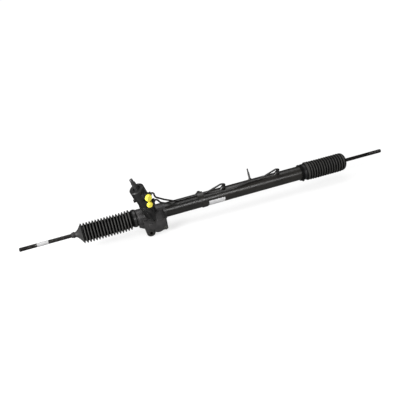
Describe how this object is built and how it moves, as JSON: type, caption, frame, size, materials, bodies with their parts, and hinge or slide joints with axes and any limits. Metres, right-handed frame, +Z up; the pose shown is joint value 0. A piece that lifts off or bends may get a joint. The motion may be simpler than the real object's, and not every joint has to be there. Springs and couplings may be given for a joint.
{
  "type": "power steering rack",
  "caption": "Hydraulic rack and pinion steering gear: cylinder tube, rotary valve tower, bellows boots, pressure pipes and inner tie rods.",
  "frame": {"origin": "on the rack's axis, at the middle of the bare seat on the cylinder tube where the car's clamp holds it", "axes": "+X along the rack away from the valve tower, +Z up, +Y towards the side where the yoke plug is"},
  "size_m": [1.396, 0.1604, 0.243],
  "materials": {
    "black_casting": "satin black paint over cast iron",
    "black_steel": "satin black paint",
    "black_pipe": "black coated steel pipe",
    "black_fastener": "black coated steel",
    "zinc_steel": "zinc plated",
    "machined_steel": "machined",
    "bearing_steel": "ground",
    "shaft_steel": "dark phosphated steel",
    "rod_steel": "black phosphated steel",
    "cast_alloy": "as cast",
    "rubber": "matte",
    "boot_rubber": "satin",
    "bushing_plastic": "matte",
    "yellow_plastic": "moulded, matte",
    "label_paper": "white paper film"
  },
  "bodies": {
    "housing": {"gear_housing": "black_casting", "bottom_cover": "black_casting", "foot_screw": "zinc_steel", "mount_bush": "rubber", "mount_sleeve": "zinc_steel", "valve_housing": "black_casting", "valve_screws": "black_fastener", "port_cap_upper": "yellow_plastic", "port_cap_lower": "yellow_plastic", "input_bearing": "bearing_steel", "input_seal": "rubber", "pinion_bearing_upper": "bearing_steel", "pinion_bearing_lower": "bearing_steel", "rack_tube": "black_steel", "boot_seat_ring": "black_steel", "inner_bulkhead": "machined_steel", "rack_seal_inner": "rubber", "rack_seal_outer": "rubber", "end_bushing": "bushing_plastic", "cylinder_port_left": "black_steel", "cylinder_port_right": "black_steel", "tube_pipe_nuts": "black_fastener", "valve_pipe_nuts": "black_fastener", "pressure_pipe_left": "black_pipe", "pressure_pipe_right": "black_pipe", "pipe_clip": "black_steel", "clip_bolt": "black_fastener", "line_stud": "black_fastener", "yoke": "cast_alloy", "yoke_spring": "machined_steel", "yoke_plug": "cast_alloy", "yoke_locknut": "black_fastener", "boot_left": "boot_rubber", "boot_right": "boot_rubber", "boot_clamp_left": "black_fastener", "boot_clamp_right": "black_fastener", "tube_label": "label_paper"},
    "rack": {"rack_bar": "machined_steel", "piston": "machined_steel", "piston_ring": "bushing_plastic", "lock_washer_left": "machined_steel", "lock_washer_right": "machined_steel", "inner_socket_left": "machined_steel", "inner_socket_right": "machined_steel"},
    "pinion": {"pinion": "machined_steel", "pinion_nut": "machined_steel", "valve_sleeve": "machined_steel", "valve_pin": "machined_steel", "sleeve_rings": "bushing_plastic", "torsion_bar": "machined_steel"},
    "input_shaft": {"input_shaft": "shaft_steel"},
    "ball_left": {"ball_shell_left": "bushing_plastic"},
    "ball_right": {"ball_shell_right": "bushing_plastic"},
    "tie_rod_left": {"tie_rod_left": "rod_steel", "boot_clip_left": "black_fastener", "rod_label": "label_paper"},
    "tie_rod_right": {"tie_rod_right": "rod_steel", "boot_clip_right": "black_fastener"}
  },
  "joints": [
    {"name": "rack_slide", "type": "slide", "parent": "housing", "child": "rack", "axis": [1, 0, 0], "range_m": [-0.051, 0.095], "deforming": ["boot_left", "boot_right"]},
    {"name": "pinion_turn", "type": "hinge", "parent": "housing", "child": "pinion", "pos_m": [-0.5339, -0.0192, -0.00339], "axis": [-0.2689, -0.1673, 0.9485], "range_deg": [-570.35, 306.42]},
    {"name": "torsion_bar_twist", "type": "hinge", "parent": "pinion", "child": "input_shaft", "pos_m": [-0.5339, -0.0192, -0.00339], "axis": [-0.2689, -0.1673, 0.9485], "range_deg": [-4.5, 4.5], "stiffness_Nm_per_rad": 75},
    {"name": "ball_left_raise", "type": "hinge", "parent": "rack", "child": "ball_left", "pos_m": [-0.742, 0, 0], "axis": [0, 1, 0], "range_deg": [-15, 15]},
    {"name": "ball_left_sweep", "type": "hinge", "parent": "ball_left", "child": "tie_rod_left", "pos_m": [-0.742, 0, 0], "axis": [0, 0, 1], "range_deg": [-15, 15]},
    {"name": "ball_right_raise", "type": "hinge", "parent": "rack", "child": "ball_right", "pos_m": [0.138, 0, 0], "axis": [0, 1, 0], "range_deg": [-15, 15]},
    {"name": "ball_right_sweep", "type": "hinge", "parent": "ball_right", "child": "tie_rod_right", "pos_m": [0.138, 0, 0], "axis": [0, 0, 1], "range_deg": [-15, 15]}
  ],
  "couplings": [
    {"joint": "pinion_turn", "follows": "rack_slide", "rad_per_m": -104.69}
  ]
}
